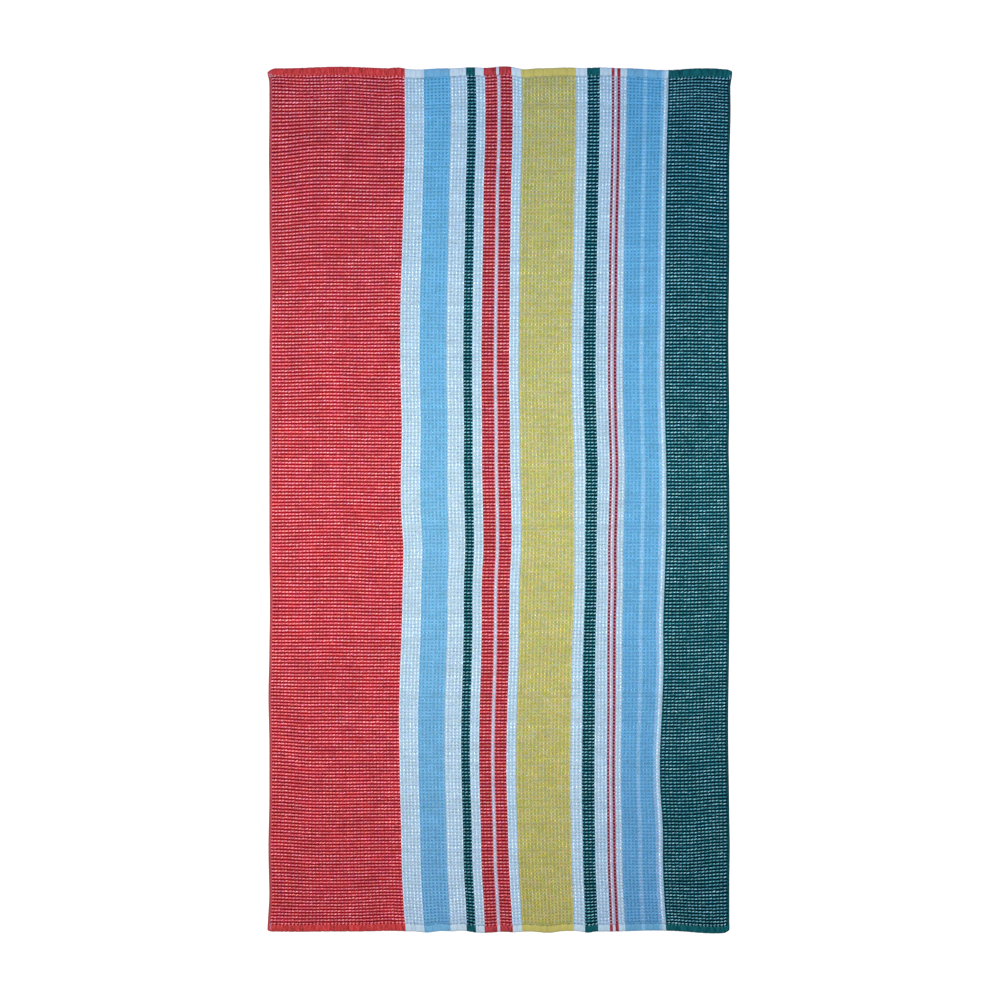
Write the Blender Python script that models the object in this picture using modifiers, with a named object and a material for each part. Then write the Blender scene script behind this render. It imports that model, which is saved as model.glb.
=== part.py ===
"""Striped cotton beach towel, lying flat.

One woven cloth with a plain selvedge down each long side and a folded hem at each
end. The long way runs along Y, and the face that shows points up. Its two hems
are uneven, and low ripples run from them into the cloth. Units are metres.
"""

import math
from collections import namedtuple

import bpy
import bmesh

# Driving dimensions
TOWEL_WIDTH = 0.904
TOWEL_LENGTH = 1.696
CLOTH_THICKNESS = 0.0026
HEM_THICKNESS = 0.0034
NEAR_HEM_DEPTH = 0.0140
FAR_HEM_DEPTH = 0.0163
SELVEDGE_WIDTH = 0.005
SELVEDGE_THICKNESS = 0.0016
EDGE_THICKNESS = 0.0012
CORNER_REACH = 0.035
RIPPLE_REACH = 0.16

# How finely the sheet is divided
ROWS_IN_CLOTH = 18
COLUMNS_IN_CLOTH = 74

MM = 0.001

# Each scallop of an end: its place across the towel (0 left, 1 right), its half
# width in shares of the towel's width, how far it stands out past the straight
# hem, and how high the ripple behind it lifts the cloth.
Scallop = namedtuple("Scallop", "across spread out_mm lift_mm")
FAR_END = (
    Scallop(0.150, 0.120, 3.2, 0.0),
    Scallop(0.275, 0.025, 1.9, 0.0),
    Scallop(0.318, 0.055, -3.2, 3.4),
    Scallop(0.435, 0.045, 2.0, 0.0),
    Scallop(0.505, 0.052, 3.8, 0.0),
    Scallop(0.548, 0.030, -2.8, 2.2),
    Scallop(0.640, 0.055, 1.5, 0.0),
    Scallop(0.715, 0.055, 1.7, 0.0),
    Scallop(0.850, 0.080, -4.6, 4.6),
    Scallop(1.000, 0.050, -2.4, 0.0),
)
NEAR_END = (
    Scallop(0.060, 0.080, 0.6, 0.0),
    Scallop(0.255, 0.060, -1.8, 2.4),
    Scallop(0.335, 0.030, 2.0, 0.0),
    Scallop(0.370, 0.030, -1.6, 1.8),
    Scallop(0.415, 0.028, -2.4, 2.0),
    Scallop(0.460, 0.055, 2.6, 0.0),
    Scallop(0.525, 0.030, 1.6, 0.0),
    Scallop(0.600, 0.040, 2.4, 0.0),
    Scallop(0.652, 0.045, -1.8, 2.6),
    Scallop(0.690, 0.022, 2.2, 0.0),
    Scallop(0.830, 0.090, -2.8, 3.6),
    Scallop(0.965, 0.085, 3.8, 0.0),
)

# Each swell of a long side: its place along the towel (0 near end, 1 far end),
# its half length in shares of the towel's length, and how far it stands out.
Swell = namedtuple("Swell", "along spread out_mm")
LEFT_SIDE = (
    Swell(0.000, 0.045, 3.4),
    Swell(0.095, 0.060, 1.8),
    Swell(0.270, 0.060, 1.8),
    Swell(0.380, 0.060, -1.0),
    Swell(0.750, 0.090, -1.2),
    Swell(0.900, 0.050, 0.8),
    Swell(1.000, 0.022, 2.8),
)
RIGHT_SIDE = (
    Swell(0.095, 0.040, 0.8),
    Swell(0.235, 0.120, -2.2),
    Swell(0.440, 0.100, 0.9),
    Swell(0.560, 0.040, -1.2),
    Swell(0.690, 0.100, -1.7),
    Swell(0.955, 0.070, 2.4),
    Swell(1.000, 0.022, 3.4),
)

# How far each corner of an end is drawn back, and how wide its slanting edge is.
Corner = namedtuple("Corner", "setback_mm width_mm")
NEAR_LEFT = Corner(1.0, 3.0)
NEAR_RIGHT = Corner(8.6, 9.8)
FAR_LEFT = Corner(9.8, 14.7)
FAR_RIGHT = Corner(5.9, 8.8)


def hump(distance, spread):
    """A soft bump: 1 at its middle, and 0 from one spread away on."""
    if abs(distance) >= spread:
        return 0.0
    return 0.5 + 0.5 * math.cos(math.pi * distance / spread)


def stands_out(bumps, place):
    """How far an edge stands out at a place along it, from its table."""
    return sum(b.out_mm * MM * hump(place - b[0], b.spread) for b in bumps)


def ripple_height(scallops, across, from_end):
    """How high the ripples behind one end lift the cloth."""
    fade = hump(from_end, RIPPLE_REACH)
    return fade * sum(s.lift_mm * MM * hump(across - s.across, s.spread) for s in scallops)


def corner_setback(corner, from_side, from_end):
    """How far a turned-in corner is drawn back, in towards the middle of the towel."""
    share = max(0.0, 1 - from_side / (corner.width_mm * MM))
    return corner.setback_mm * MM * share * share * hump(from_end, CORNER_REACH)


def place_on_towel(across, along):
    """Where a point of the flat cut lies: x, y and the height of its underside."""
    left = -TOWEL_WIDTH / 2 - stands_out(LEFT_SIDE, along)
    right = TOWEL_WIDTH / 2 + stands_out(RIGHT_SIDE, along)
    from_near = along * TOWEL_LENGTH
    from_far = (1 - along) * TOWEL_LENGTH
    near_pull = stands_out(NEAR_END, across) * hump(from_near, RIPPLE_REACH)
    far_pull = stands_out(FAR_END, across) * hump(from_far, RIPPLE_REACH)
    from_left = across * TOWEL_WIDTH
    from_right = (1 - across) * TOWEL_WIDTH
    x = left + (right - left) * across
    y = from_near - TOWEL_LENGTH / 2 - near_pull + far_pull
    y += corner_setback(NEAR_LEFT, from_left, from_near) + corner_setback(NEAR_RIGHT, from_right, from_near)
    y -= corner_setback(FAR_LEFT, from_left, from_far) + corner_setback(FAR_RIGHT, from_right, from_far)
    lift = ripple_height(NEAR_END, across, from_near) + ripple_height(FAR_END, across, from_far)
    return x, y, lift


def even_steps(start, end, count):
    """Places from start to end, both included, in count equal steps."""
    return [start + (end - start) * i / count for i in range(count + 1)]


def lines_along():
    """Places along the towel, 0 to 1: close together at the hems, then even."""
    near, far = (
        [0.0, 0.0025, hem, hem + 0.002, 0.04, 0.07, 0.105] for hem in (NEAR_HEM_DEPTH, FAR_HEM_DEPTH)
    )
    middle = even_steps(RIPPLE_REACH, TOWEL_LENGTH - RIPPLE_REACH, ROWS_IN_CLOTH)
    places = near + middle + [TOWEL_LENGTH - place for place in reversed(far)]
    return [place / TOWEL_LENGTH for place in places]


def lines_across():
    """Places across the towel, 0 to 1: close together at the selvedges, then even."""
    edge = [0.0, SELVEDGE_WIDTH / 2, SELVEDGE_WIDTH, SELVEDGE_WIDTH + 0.0015, 0.011]
    left = [place / TOWEL_WIDTH for place in edge]
    middle = even_steps(left[-1], 1 - left[-1], COLUMNS_IN_CLOTH)
    return left[:-1] + middle + [1 - place for place in reversed(left[:-1])]


def thickness_at(across, along):
    """The cloth's thickness: thick at a hem, thin at a selvedge, thinnest at an edge."""
    from_side = min(across, 1 - across) * TOWEL_WIDTH
    from_near = along * TOWEL_LENGTH
    from_far = (1 - along) * TOWEL_LENGTH
    slack = 0.0001
    if min(from_side, from_near, from_far) < slack:
        return EDGE_THICKNESS
    if from_near < NEAR_HEM_DEPTH + slack or from_far < FAR_HEM_DEPTH + slack:
        return HEM_THICKNESS
    if from_side < SELVEDGE_WIDTH + slack:
        return SELVEDGE_THICKNESS
    return CLOTH_THICKNESS


def underside(across_lines, along_lines):
    """The underside as one flat grid, moved to the towel's outline and ripples."""
    sheet = bmesh.new()
    columns = len(across_lines) - 1
    rows = len(along_lines) - 1
    bmesh.ops.create_grid(sheet, x_segments=columns, y_segments=rows, size=0.5)
    cut = []
    for vert in sheet.verts:
        across = across_lines[round((vert.co.x + 0.5) * columns)]
        along = along_lines[round((vert.co.y + 0.5) * rows)]
        vert.co = place_on_towel(across, along)
        cut.append((across, along))
    return sheet, cut


def centre_on_box(sheet):
    """Puts the middle of the sheet's own box over the origin."""
    xs = [vert.co.x for vert in sheet.verts]
    ys = [vert.co.y for vert in sheet.verts]
    middle = ((min(xs) + max(xs)) / 2, (min(ys) + max(ys)) / 2, 0.0)
    bmesh.ops.translate(sheet, verts=sheet.verts, vec=[-value for value in middle])


def cotton(name, color, roughness):
    """A plain cotton finish."""
    material = bpy.data.materials.new(name)
    material.use_nodes = True
    shader = material.node_tree.nodes["Principled BSDF"]
    shader.inputs["Base Color"].default_value = (*color, 1.0)
    shader.inputs["Roughness"].default_value = roughness
    shader.inputs["Metallic"].default_value = 0.0
    material.diffuse_color = (*color, 1.0)
    return material


def make_towel(collection):
    """The whole cloth as one solid: its underside given thickness upwards."""
    sheet, cut = underside(lines_across(), lines_along())
    centre_on_box(sheet)
    mesh = bpy.data.meshes.new("towel")
    sheet.to_mesh(mesh)
    sheet.free()
    towel = bpy.data.objects.new("towel", mesh)
    collection.objects.link(towel)
    mesh.materials.append(cotton("striped_cotton", (0.46, 0.16, 0.17), 0.9))
    mesh.shade_smooth()

    thick = towel.vertex_groups.new(name="thickness")
    for index, (across, along) in enumerate(cut):
        thick.add([index], thickness_at(across, along) / HEM_THICKNESS, "REPLACE")
    solidify = towel.modifiers.new("thickness", "SOLIDIFY")
    solidify.thickness = HEM_THICKNESS
    solidify.offset = 1.0
    solidify.vertex_group = thick.name
    return towel


def main():
    for old in list(bpy.data.objects):
        bpy.data.objects.remove(old, do_unlink=True)
    collection = bpy.data.collections.new("beach_towel")
    bpy.context.scene.collection.children.link(collection)
    make_towel(collection)


main()
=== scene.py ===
"""Striped cotton beach towel: its looks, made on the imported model.

One cloth in a small waffle weave, with a folded hem at each end. The woven ground is a
thin sheet. Each float, where a yarn rises out of the ground, is a spindle of its own:
pale weft floats lie across in rows, and coloured warp floats lie lengthwise between them.

Lengths are metres, or millimetres where a name ends in _mm. A place on the flat cut is
given by across, 0 at the left selvedge to 1 at the right one, and along, 0 at the near
hem to 1 at the far one. Colours are written as they look in even light, 0 to 255.
"""

import math
from collections import namedtuple

import bpy
import numpy as np
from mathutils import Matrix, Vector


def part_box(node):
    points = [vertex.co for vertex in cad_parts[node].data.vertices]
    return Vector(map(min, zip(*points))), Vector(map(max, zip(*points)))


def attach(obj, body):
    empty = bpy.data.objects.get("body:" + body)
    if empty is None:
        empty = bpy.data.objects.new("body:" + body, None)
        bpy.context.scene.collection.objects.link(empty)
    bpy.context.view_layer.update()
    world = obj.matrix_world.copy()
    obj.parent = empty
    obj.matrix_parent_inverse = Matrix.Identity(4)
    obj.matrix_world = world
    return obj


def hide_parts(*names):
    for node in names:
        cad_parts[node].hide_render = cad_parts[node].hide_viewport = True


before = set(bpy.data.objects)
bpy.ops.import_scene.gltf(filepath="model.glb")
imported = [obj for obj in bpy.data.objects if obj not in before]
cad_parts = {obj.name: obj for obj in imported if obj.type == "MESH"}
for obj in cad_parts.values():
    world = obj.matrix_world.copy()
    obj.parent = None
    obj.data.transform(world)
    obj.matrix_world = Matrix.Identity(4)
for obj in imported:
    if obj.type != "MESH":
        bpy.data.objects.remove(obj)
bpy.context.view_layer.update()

# ---------------- sizes of the towel

MM = 0.001
TURN = 2 * math.pi

TOWEL_WIDTH = 0.904
TOWEL_LENGTH = 1.696
RIPPLE_REACH = 0.16
CORNER_REACH = 0.035
NEAR_HEM_DEPTH = 0.0140
FAR_HEM_DEPTH = 0.0163
HEM_THICKNESS = 0.0034

# The weave: weft floats lie in rows, and warp floats halfway between two rows. Floats rise
# from their root to their crest, both measured from the cloth's underside.
ROWS = 250
ROW_PITCH = 0.00668
FIRST_WEFT_COLUMN = 0.0074
FIRST_ROW = 0.0158
LAST_ROW = TOWEL_LENGTH - 0.0182
FLOAT_ROOT = 0.0013
WEFT_CREST = 0.00250
WARP_CREST = 0.00235

BODY = "root"

# The meshes' UV maps, and the values that they carry at each point: how light a place is, which is
# random tone on the floats, a selvedge's tone on the ground, and painted shade in the puckers and
# at the folds of the hems; and how far it leans from its yarn's first colour to the second one.
WEAVE_MAP = "weave"
BAKE_MAP = "OFBake"
TONE_AND_SHADE = "tone"
LEAN = "lean"

# Each stripe from left to right: its yarn, its width, how many columns of warp floats it
# has, and where they lie: the first one's distance from its left edge, and the gap from
# one to the next. A very thin stripe may lie between two columns and have none.
Stripe = namedtuple("Stripe", "yarn width_mm floats first_mm gap_mm")
STRIPES = (
    Stripe("red", 5.6, 0, 0.0, 0.0),
    Stripe("red", 255.3, 37, 4.4, 6.82),
    Stripe("white", 37.7, 6, 1.4, 6.83),
    Stripe("sky", 51.6, 7, 4.7, 7.23),
    Stripe("white", 32.6, 5, 3.7, 6.88),
    Stripe("teal", 17.4, 2, 5.5, 7.15),
    Stripe("white", 18.0, 3, 2.4, 7.0),
    Stripe("crimson", 24.0, 3, 5.5, 7.0),
    Stripe("blush", 6.5, 1, 2.8, 0.0),
    Stripe("crimson", 23.8, 3, 4.0, 7.0),
    Stripe("white", 18.6, 3, 1.2, 6.9),
    Stripe("citron", 105.8, 15, 3.3, 7.17),
    Stripe("white", 22.3, 3, 5.1, 7.0),
    Stripe("teal", 24.1, 3, 4.1, 7.1),
    Stripe("frost", 23.6, 4, 1.3, 6.65),
    Stripe("rose", 4.7, 0, 0.0, 0.0),
    Stripe("blush", 6.3, 1, 1.8, 0.0),
    Stripe("wine", 5.3, 1, 2.4, 0.0),
    Stripe("frost", 12.9, 2, 2.9, 6.4),
    Stripe("deep_sky", 31.9, 5, 3.2, 7.14),
    Stripe("pale_sky", 6.8, 0, 0.0, 0.0),
    Stripe("deep_sky", 28.0, 4, 0.3, 7.0),
    Stripe("pale_sky", 5.2, 1, 0.3, 0.0),
    Stripe("frost", 8.0, 1, 2.0, 0.0),
    Stripe("teal", 123.1, 18, 2.6, 7.06),
    Stripe("teal", 4.9, 0, 0.0, 0.0),
)

# How far apart the rows lie, from the first (0) to the last (1): they crowd at the hems.
RowGap = namedtuple("RowGap", "share gap_mm")
ROW_GAPS = (
    RowGap(0.00, 6.1),
    RowGap(0.04, 6.4),
    RowGap(0.10, 6.55),
    RowGap(0.28, 6.55),
    RowGap(0.37, 6.85),
    RowGap(0.46, 6.65),
    RowGap(0.75, 6.75),
    RowGap(0.84, 6.95),
    RowGap(0.89, 7.0),
    RowGap(0.94, 6.8),
    RowGap(0.97, 6.4),
    RowGap(1.00, 6.2),
)

# How unevenly a yarn is dyed, and its painted light and shade towards the ends: how much its red,
# green and blue vary from place to place, the share of them that it has at the far end and at the
# near end, in hundredths, which is painted light and shade, and how much lighter its row bands are
# than the pits between them at the two ends, which is painted light and shade too.
Dye = namedtuple("Dye", "unevenness far near ribs")
RED_DYE_AND_SHADE = Dye((0.4, 0.5, 1.0), (91, 96, 102), (96, 87, 92), 0.0)
WHITE_DYE_AND_SHADE = Dye((0.3, 0.1, 0.3), (92, 98, 104), (100, 100, 107), -0.1)
SKY_DYE_AND_SHADE = Dye((0.5, 0.1, 0.25), (70, 92, 100), (86, 88, 96), 0.34)
DEEP_SKY_DYE_AND_SHADE = Dye((0.5, 0.1, 0.25), (73, 90, 95), (88, 84, 91), 0.34)
CITRON_DYE_AND_SHADE = Dye((0.6, 0.25, 1.8), (91, 93, 95), (98, 93, 82), 0.1)
TEAL_DYE_AND_SHADE = Dye((0.25, 0.2, 0.4), (81, 89, 99), (77, 83, 88), 0.3)

# Each yarn's colours: the ground's holes, pits and row bands, where the holes are painted shade and
# the pits of most yarns are darkened with painted shade; the weft floats that lie on it, and its
# own warp floats, each with what some of them lean to; and its hem. Crimson and frost are the red
# and the white of the narrow stripes, where both look duller.
Yarn = namedtuple("Yarn", "name hole pit band weft weft_lean warp warp_lean hem dye")
YARNS = (
    Yarn("red", (124, 0, 14), (170, 5, 15), (238, 104, 118), (308, 208, 216),
         (298, 150, 158), (196, 8, 20), (120, 8, 32), (217, 73, 76), RED_DYE_AND_SHADE),
    Yarn("crimson", (116, 0, 14), (158, 5, 15), (222, 102, 116), (286, 204, 212),
         (276, 148, 156), (182, 8, 20), (110, 8, 32), (196, 70, 78), RED_DYE_AND_SHADE),
    Yarn("white", (174, 206, 228), (198, 228, 248), (192, 224, 246), (162, 196, 218),
         (178, 206, 228), (262, 286, 291), (240, 267, 277), (214, 241, 260), WHITE_DYE_AND_SHADE),
    Yarn("frost", (160, 193, 219), (190, 221, 243), (185, 218, 242), (156, 190, 215),
         (171, 200, 225), (250, 276, 286), (229, 258, 272), (200, 231, 252), WHITE_DYE_AND_SHADE),
    Yarn("blush", (176, 186, 208), (198, 204, 224), (196, 200, 222), (172, 180, 200),
         (182, 188, 208), (262, 264, 276), (248, 248, 267), (216, 228, 250), WHITE_DYE_AND_SHADE),
    Yarn("sky", (80, 154, 199), (124, 192, 236), (132, 200, 242), (142, 210, 250),
         (134, 204, 246), (144, 210, 250), (138, 204, 244), (128, 196, 240), SKY_DYE_AND_SHADE),
    Yarn("deep_sky", (75, 149, 199), (109, 181, 231), (117, 188, 236), (126, 200, 246),
         (118, 192, 240), (126, 198, 242), (120, 192, 238), (117, 183, 226), DEEP_SKY_DYE_AND_SHADE),
    Yarn("pale_sky", (128, 186, 228), (142, 198, 240), (154, 208, 248), (184, 230, 262),
         (158, 212, 250), (176, 206, 240), (166, 202, 240), (150, 205, 248), DEEP_SKY_DYE_AND_SHADE),
    Yarn("citron", (166, 170, 104), (194, 192, 122), (203, 202, 136), (196, 204, 150),
         (208, 204, 150), (241, 237, 150), (236, 226, 138), (215, 207, 119), CITRON_DYE_AND_SHADE),
    Yarn("teal", (0, 14, 30), (0, 29, 41), (30, 122, 136), (196, 247, 261),
         (132, 192, 204), (0, 53, 63), (0, 32, 50), (22, 97, 106), TEAL_DYE_AND_SHADE),
    Yarn("rose", (100, 6, 34), (130, 26, 52), (190, 120, 138), (216, 178, 196),
         (186, 140, 160), (138, 18, 44), (138, 18, 44), (172, 60, 72), RED_DYE_AND_SHADE),
    Yarn("wine", (112, 14, 38), (124, 20, 48), (196, 98, 118), (220, 148, 162),
         (220, 148, 162), (130, 14, 42), (98, 16, 42), (168, 58, 70), RED_DYE_AND_SHADE),
)
DARK_YARNS = ("red", "crimson", "teal", "rose", "wine")
SELVEDGE_COLOURS = {"red": (196, 86, 92), "teal": (28, 80, 90)}
THREAD_COLOUR = (198, 206, 240)

# ---------------- how the towel lies

# Each scallop of an end: its place across, its half width in shares of the towel's
# width, how far it stands out, and how high the ripple behind it lifts the cloth.
Scallop = namedtuple("Scallop", "across spread out_mm lift_mm")
FAR_END = (
    Scallop(0.150, 0.120, 3.2, 0.0),
    Scallop(0.275, 0.025, 1.9, 0.0),
    Scallop(0.318, 0.055, -3.2, 3.4),
    Scallop(0.435, 0.045, 2.0, 0.0),
    Scallop(0.505, 0.052, 3.8, 0.0),
    Scallop(0.548, 0.030, -2.8, 2.2),
    Scallop(0.640, 0.055, 1.5, 0.0),
    Scallop(0.715, 0.055, 1.7, 0.0),
    Scallop(0.850, 0.080, -4.6, 4.6),
    Scallop(1.000, 0.050, -2.4, 0.0),
)
NEAR_END = (
    Scallop(0.060, 0.080, 0.6, 0.0),
    Scallop(0.255, 0.060, -1.8, 2.4),
    Scallop(0.335, 0.030, 2.0, 0.0),
    Scallop(0.370, 0.030, -1.6, 1.8),
    Scallop(0.415, 0.028, -2.4, 2.0),
    Scallop(0.460, 0.055, 2.6, 0.0),
    Scallop(0.525, 0.030, 1.6, 0.0),
    Scallop(0.600, 0.040, 2.4, 0.0),
    Scallop(0.652, 0.045, -1.8, 2.6),
    Scallop(0.690, 0.022, 2.2, 0.0),
    Scallop(0.830, 0.090, -2.8, 3.6),
    Scallop(0.965, 0.085, 3.8, 0.0),
)

# Each swell of a long side: its place along, its half length in shares of the towel's
# length, and how far it stands out.
Swell = namedtuple("Swell", "along spread out_mm")
LEFT_SIDE = (
    Swell(0.000, 0.045, 3.4),
    Swell(0.095, 0.060, 1.8),
    Swell(0.270, 0.060, 1.8),
    Swell(0.380, 0.060, -1.0),
    Swell(0.750, 0.090, -1.2),
    Swell(0.900, 0.050, 0.8),
    Swell(1.000, 0.022, 3.5),
)
RIGHT_SIDE = (
    Swell(0.095, 0.040, 0.8),
    Swell(0.235, 0.120, -2.2),
    Swell(0.440, 0.100, 0.9),
    Swell(0.560, 0.040, -1.2),
    Swell(0.690, 0.100, -1.7),
    Swell(0.955, 0.070, 2.4),
    Swell(1.000, 0.022, 4.6),
)

# How far each corner of an end is drawn back, and how wide its slanting edge is.
Corner = namedtuple("Corner", "setback_mm width_mm")
NEAR_LEFT = Corner(2.6, 9.0)
NEAR_RIGHT = Corner(5.6, 12.0)
FAR_LEFT = Corner(7.6, 17.0)
FAR_RIGHT = Corner(3.6, 13.0)

# How the stripes sway on their way along: how far six of their edges have moved to the right.
Sway = namedtuple("Sway", "along red_mm thin_mm citron_left_mm citron_right_mm wine_mm teal_mm")
SWAY = (
    Sway(0.000, 7.0, 5.5, 6.0, 1.0, 3.0, 4.0),
    Sway(0.030, 3.0, 3.5, 3.0, 0.0, 1.0, 0.5),
    Sway(0.076, -0.5, -1.0, -1.5, -3.0, -2.0, -3.0),
    Sway(0.122, -2.0, -2.5, -4.0, -4.5, -3.0, -3.5),
    Sway(0.170, -4.0, -5.0, -6.5, -6.0, -3.5, -8.5),
    Sway(0.200, -5.0, -6.0, -6.5, -5.5, -3.5, -9.0),
    Sway(0.255, -6.0, -5.0, -5.0, -4.5, -3.0, -5.0),
    Sway(0.307, -3.5, -2.5, -2.0, -3.5, -3.0, -2.0),
    Sway(0.354, -0.5, -1.0, -1.0, -0.5, -2.5, -2.5),
    Sway(0.400, 1.0, -1.0, 0.0, 2.0, -1.0, 0.0),
    Sway(0.446, 2.5, 2.0, 3.5, 2.5, -1.5, 2.5),
    Sway(0.492, -2.0, 1.0, 3.5, 2.0, 0.5, 3.5),
    Sway(0.539, -2.0, -0.5, 1.5, 2.0, 2.0, 3.5),
    Sway(0.585, -0.5, -0.5, 1.0, -0.5, 0.0, 1.5),
    Sway(0.631, -2.5, -1.5, -1.0, -2.5, -1.5, 0.0),
    Sway(0.724, -3.0, -0.5, 0.0, -1.5, -0.5, 1.0),
    Sway(0.816, 1.5, 2.0, 1.5, 1.5, 1.5, 2.0),
    Sway(0.863, 3.5, 3.0, 2.5, 3.0, 3.5, 3.0),
    Sway(0.909, 5.5, 5.5, 5.0, 5.0, 5.0, 4.5),
    Sway(0.955, 5.5, 6.5, 5.5, 6.0, 6.0, 6.5),
    Sway(1.000, 5.0, 5.0, 5.0, 5.5, 6.0, 8.0),
)
# Where those six edges lie across the towel.
SWAY_LINES = (0.2883, 0.4475, 0.5409, 0.6598, 0.7378, 0.8584)

# How the rows wander: how far they are dragged towards the far end, at five places across.
Drag = namedtuple("Drag", "along left_mm red_mm white_mm teal_mm right_mm")
DRAG = (
    Drag(0.000, 0.0, 0.0, 0.0, 0.0, 0.0),
    Drag(0.012, 0.7, 0.6, 1.8, 0.0, 0.9),
    Drag(0.030, 1.3, -0.3, 1.8, -0.5, 2.3),
    Drag(0.076, 2.9, -1.0, 0.9, -1.9, 6.5),
    Drag(0.122, 3.3, -1.1, 0.2, -1.9, 5.5),
    Drag(0.170, 4.0, -1.2, 0.0, -0.7, 4.8),
    Drag(0.200, 4.8, -0.2, -0.2, 0.6, 4.4),
    Drag(0.255, 3.8, 1.0, 0.0, 1.6, 3.7),
    Drag(0.307, 1.3, 1.3, 0.8, 1.7, 3.3),
    Drag(0.354, 0.5, 1.2, -0.3, 0.9, 3.0),
    Drag(0.400, 1.5, 0.9, -1.8, 0.3, 2.4),
    Drag(0.446, -0.4, 1.4, -2.0, 0.1, 1.6),
    Drag(0.492, -0.5, 0.8, -1.4, -0.5, 1.0),
    Drag(0.539, 1.0, 0.2, -0.8, -0.4, 0.6),
    Drag(0.585, 0.4, 0.8, -0.3, 0.1, -0.7),
    Drag(0.631, -0.4, 2.1, 0.3, 0.8, -1.0),
    Drag(0.724, 0.4, 1.9, 3.0, 3.3, -2.0),
    Drag(0.816, -4.9, 1.3, 0.3, 3.7, -4.0),
    Drag(0.863, -6.4, 1.2, -0.5, 3.9, -4.5),
    Drag(0.909, -6.1, 2.0, -0.5, 2.6, -4.3),
    Drag(0.955, 0.6, 1.0, -1.6, 1.5, -2.5),
    Drag(0.988, 3.6, -0.4, -1.4, -1.0, -0.7),
    Drag(1.000, 0.0, 0.0, 0.0, 0.0, 0.0),
)

# Where across the towel each column of the drag table is felt, and how far round it.
Pull = namedtuple("Pull", "column from_left reach")
PULLS = (
    Pull("left_mm", 0.0, 0.095),
    Pull("red_mm", 0.120, 0.100),
    Pull("white_mm", 0.242, 0.110),
    Pull("teal_mm", 0.854, 0.250),
    Pull("right_mm", TOWEL_WIDTH, 0.095),
)
OUTLINE_POINTS = 2001


def hump(distance, spread):
    """A soft bump: 1 at its middle, and 0 from one spread away on."""
    share = np.clip(np.abs(distance) / spread, 0.0, 1.0)
    return 0.5 + 0.5 * np.cos(math.pi * share)


def stands_out(bumps, place):
    """How far an edge stands out at places along it, from its table."""
    return sum(bump.out_mm * MM * hump(place - bump[0], bump.spread) for bump in bumps)


def ripples(scallops, across):
    """How high an end's ripples lift the cloth at places across it."""
    return sum(s.lift_mm * MM * hump(across - s.across, s.spread) for s in scallops)


def curve(table, column, along):
    """One column of a table at places along the towel, on a smooth curve."""
    places = np.array([row.along for row in table])
    values = np.array([getattr(row, column) for row in table]) * MM
    slopes = np.gradient(values, places)
    before = np.clip(np.searchsorted(places, along) - 1, 0, len(places) - 2)
    step = places[before + 1] - places[before]
    share = (along - places[before]) / step
    rest = 1 - share
    return (
        rest * rest * (1 + 2 * share) * values[before]
        + share * rest * rest * step * slopes[before]
        + share * share * (1 + 2 * rest) * values[before + 1]
        - share * share * rest * step * slopes[before + 1]
    )


def sway_at(across, along):
    """How far a place has moved sideways: tied to the two sides and the six swaying edges."""
    lines = (0.0, *SWAY_LINES, 1.0)
    shifts = (
        -stands_out(LEFT_SIDE, along),
        *(curve(SWAY, column, along) for column in Sway._fields[1:]),
        stands_out(RIGHT_SIDE, along),
    )
    tents = np.eye(len(lines))
    return sum(shift * np.interp(across, lines, tent) for shift, tent in zip(shifts, tents))


def setback(corner, from_side):
    """How far a turned-in corner is drawn back at a distance from its side."""
    share = np.maximum(0.0, 1 - from_side / (corner.width_mm * MM))
    return corner.setback_mm * MM * share * share


def lay_flat_cut(across, along):
    """Where places of the flat cut lie: x, y and the height of the underside there."""
    from_near = along * TOWEL_LENGTH
    from_far = TOWEL_LENGTH - from_near
    from_left = across * TOWEL_WIDTH
    from_right = TOWEL_WIDTH - from_left
    near_fade = hump(from_near, RIPPLE_REACH)
    far_fade = hump(from_far, RIPPLE_REACH)
    y = from_near - TOWEL_LENGTH / 2
    y = y - stands_out(NEAR_END, across) * near_fade + stands_out(FAR_END, across) * far_fade
    near_setback = setback(NEAR_LEFT, from_left) + setback(NEAR_RIGHT, from_right)
    far_setback = setback(FAR_LEFT, from_left) + setback(FAR_RIGHT, from_right)
    y = y + near_setback * hump(from_near, CORNER_REACH)
    y = y - far_setback * hump(from_far, CORNER_REACH)
    for pull in PULLS:
        y = y + curve(DRAG, pull.column, along) * hump(from_left - pull.from_left, pull.reach)
    lift = ripples(NEAR_END, across) * near_fade + ripples(FAR_END, across) * far_fade
    return from_left - TOWEL_WIDTH / 2 + sway_at(across, along), y, lift


def middle_of_outline():
    """The middle of the box round the laid towel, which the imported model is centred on."""
    edge = np.linspace(0.0, 1.0, OUTLINE_POINTS)
    none = np.zeros_like(edge)
    sides = np.concatenate([lay_flat_cut(none, edge)[0], lay_flat_cut(none + 1, edge)[0]])
    ends = np.concatenate([lay_flat_cut(edge, none)[1], lay_flat_cut(edge, none + 1)[1]])
    return (sides.min() + sides.max()) / 2, (ends.min() + ends.max()) / 2


MIDDLE = middle_of_outline()


def lay(across, along, height):
    """Points of the laid towel, at heights above its underside."""
    x, y, lift = lay_flat_cut(across, along)
    low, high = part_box("towel")
    x = x - MIDDLE[0] + (low.x + high.x) / 2
    y = y - MIDDLE[1] + (low.y + high.y) / 2
    return np.stack([x, y, lift + height], -1)


# ---------------- finishes

# How much the studio's light brightens a cloth, and the lightest that a cloth may be.
LIGHT_LEVEL = 1.6
LIGHTEST = 0.97
SHINE = 0.01
CLOTH_ROUGHNESS = 0.9
THREAD_ROUGHNESS = 0.6
PAPER_ROUGHNESS = 0.95

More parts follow.
